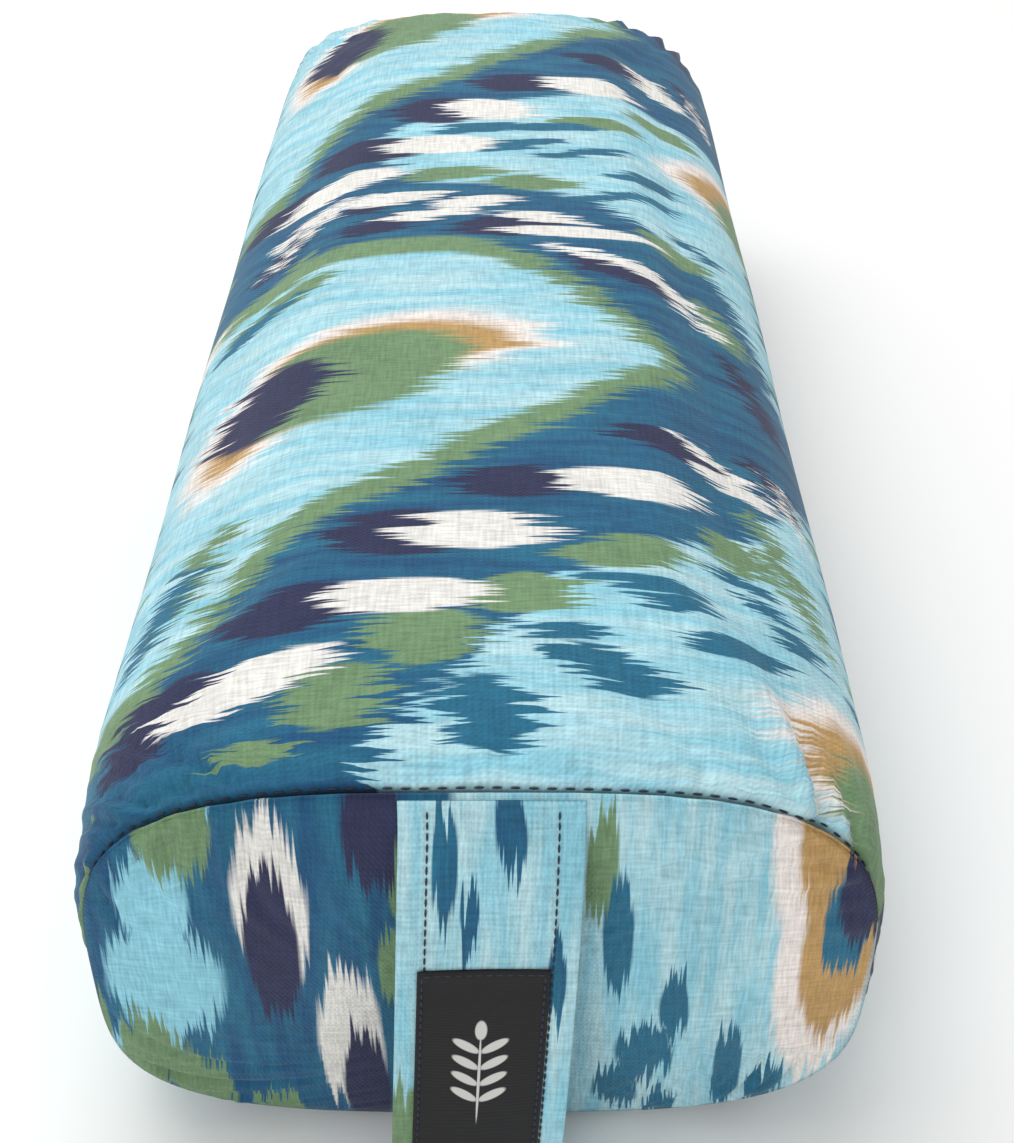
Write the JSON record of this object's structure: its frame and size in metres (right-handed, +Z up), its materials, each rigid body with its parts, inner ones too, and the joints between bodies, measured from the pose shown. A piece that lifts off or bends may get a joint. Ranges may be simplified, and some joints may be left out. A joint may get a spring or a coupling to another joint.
{
  "type": "bolster pillow",
  "caption": "Rectangular bolster pillow: zipped canvas cover with a grab handle at each end over a batting-filled liner.",
  "frame": {"origin": "centre of the resting underside, halfway between the outsides of the two handles", "axes": "+Z up; Y along the pillow, with the labelled handle at the -Y end; X across it, with the zip low on the +X side"},
  "size_m": [0.278, 0.7019, 0.176],
  "materials": {
    "cover_canvas": "plain-weave cotton canvas with an ikat print in aqua, teal, indigo, moss green, cream and ochre",
    "dark_thread": "dark polyester sewing thread",
    "woven_label": "black woven satin label",
    "zip_tape": "dark woven zip tape",
    "nylon_coil": "dark moulded nylon coil",
    "nickel": "nickel-plated die-cast zinc",
    "liner_muslin": "unbleached cotton muslin",
    "cotton_batting": "needled cotton batting"
  },
  "bodies": {
    "cushion": {"cover_wrap": "cover_canvas", "cover_front_panel": "cover_canvas", "cover_back_panel": "cover_canvas", "front_seam_thread": "dark_thread", "back_seam_thread": "dark_thread", "front_handle_upper_end": "cover_canvas", "front_handle_lower_end": "cover_canvas", "back_handle_upper_end": "cover_canvas", "back_handle_lower_end": "cover_canvas", "front_handle_topstitch_left": "dark_thread", "zip_tape_upper": "zip_tape", "zip_tape_lower": "zip_tape", "zip_topstitch_upper": "dark_thread", "zip_topstitch_lower": "dark_thread", "zip_coil_upper": "nylon_coil", "zip_coil_lower": "nylon_coil", "zip_top_stop_upper": "nickel", "zip_top_stop_lower": "nickel", "zip_bottom_stop": "nickel", "liner_wrap": "liner_muslin", "liner_front_panel": "liner_muslin", "liner_back_panel": "liner_muslin", "batting_wrap": "cotton_batting", "batting_core": "cotton_batting"},
    "front_grip": {"front_handle_grip": "cover_canvas", "front_handle_label": "woven_label", "label_stitching": "dark_thread", "front_handle_topstitch_right": "dark_thread"},
    "back_grip": {"back_handle_grip": "cover_canvas", "back_handle_topstitch_left": "dark_thread", "back_handle_topstitch_right": "dark_thread"},
    "slider": {"zip_slider": "nickel"},
    "pull_tab": {"zip_pull_tab": "nickel"}
  },
  "joints": [
    {"name": "front_handle_pull", "type": "slide", "parent": "cushion", "child": "front_grip", "axis": [0, -0.96, 0.28], "range_m": [-0.006, 0.02]},
    {"name": "back_handle_pull", "type": "slide", "parent": "cushion", "child": "back_grip", "axis": [0, 0.96, 0.28], "range_m": [-0.006, 0.02]},
    {"name": "zip_slide", "type": "slide", "parent": "cushion", "child": "slider", "axis": [0, 1, 0], "range_m": [0, 0.522]},
    {"name": "pull_tab_hinge", "type": "hinge", "parent": "slider", "child": "pull_tab", "pos_m": [0.13661, -0.2625, 0.03294], "axis": [-0.3664, 0, -0.9305], "range_deg": [0, 170]}
  ]
}
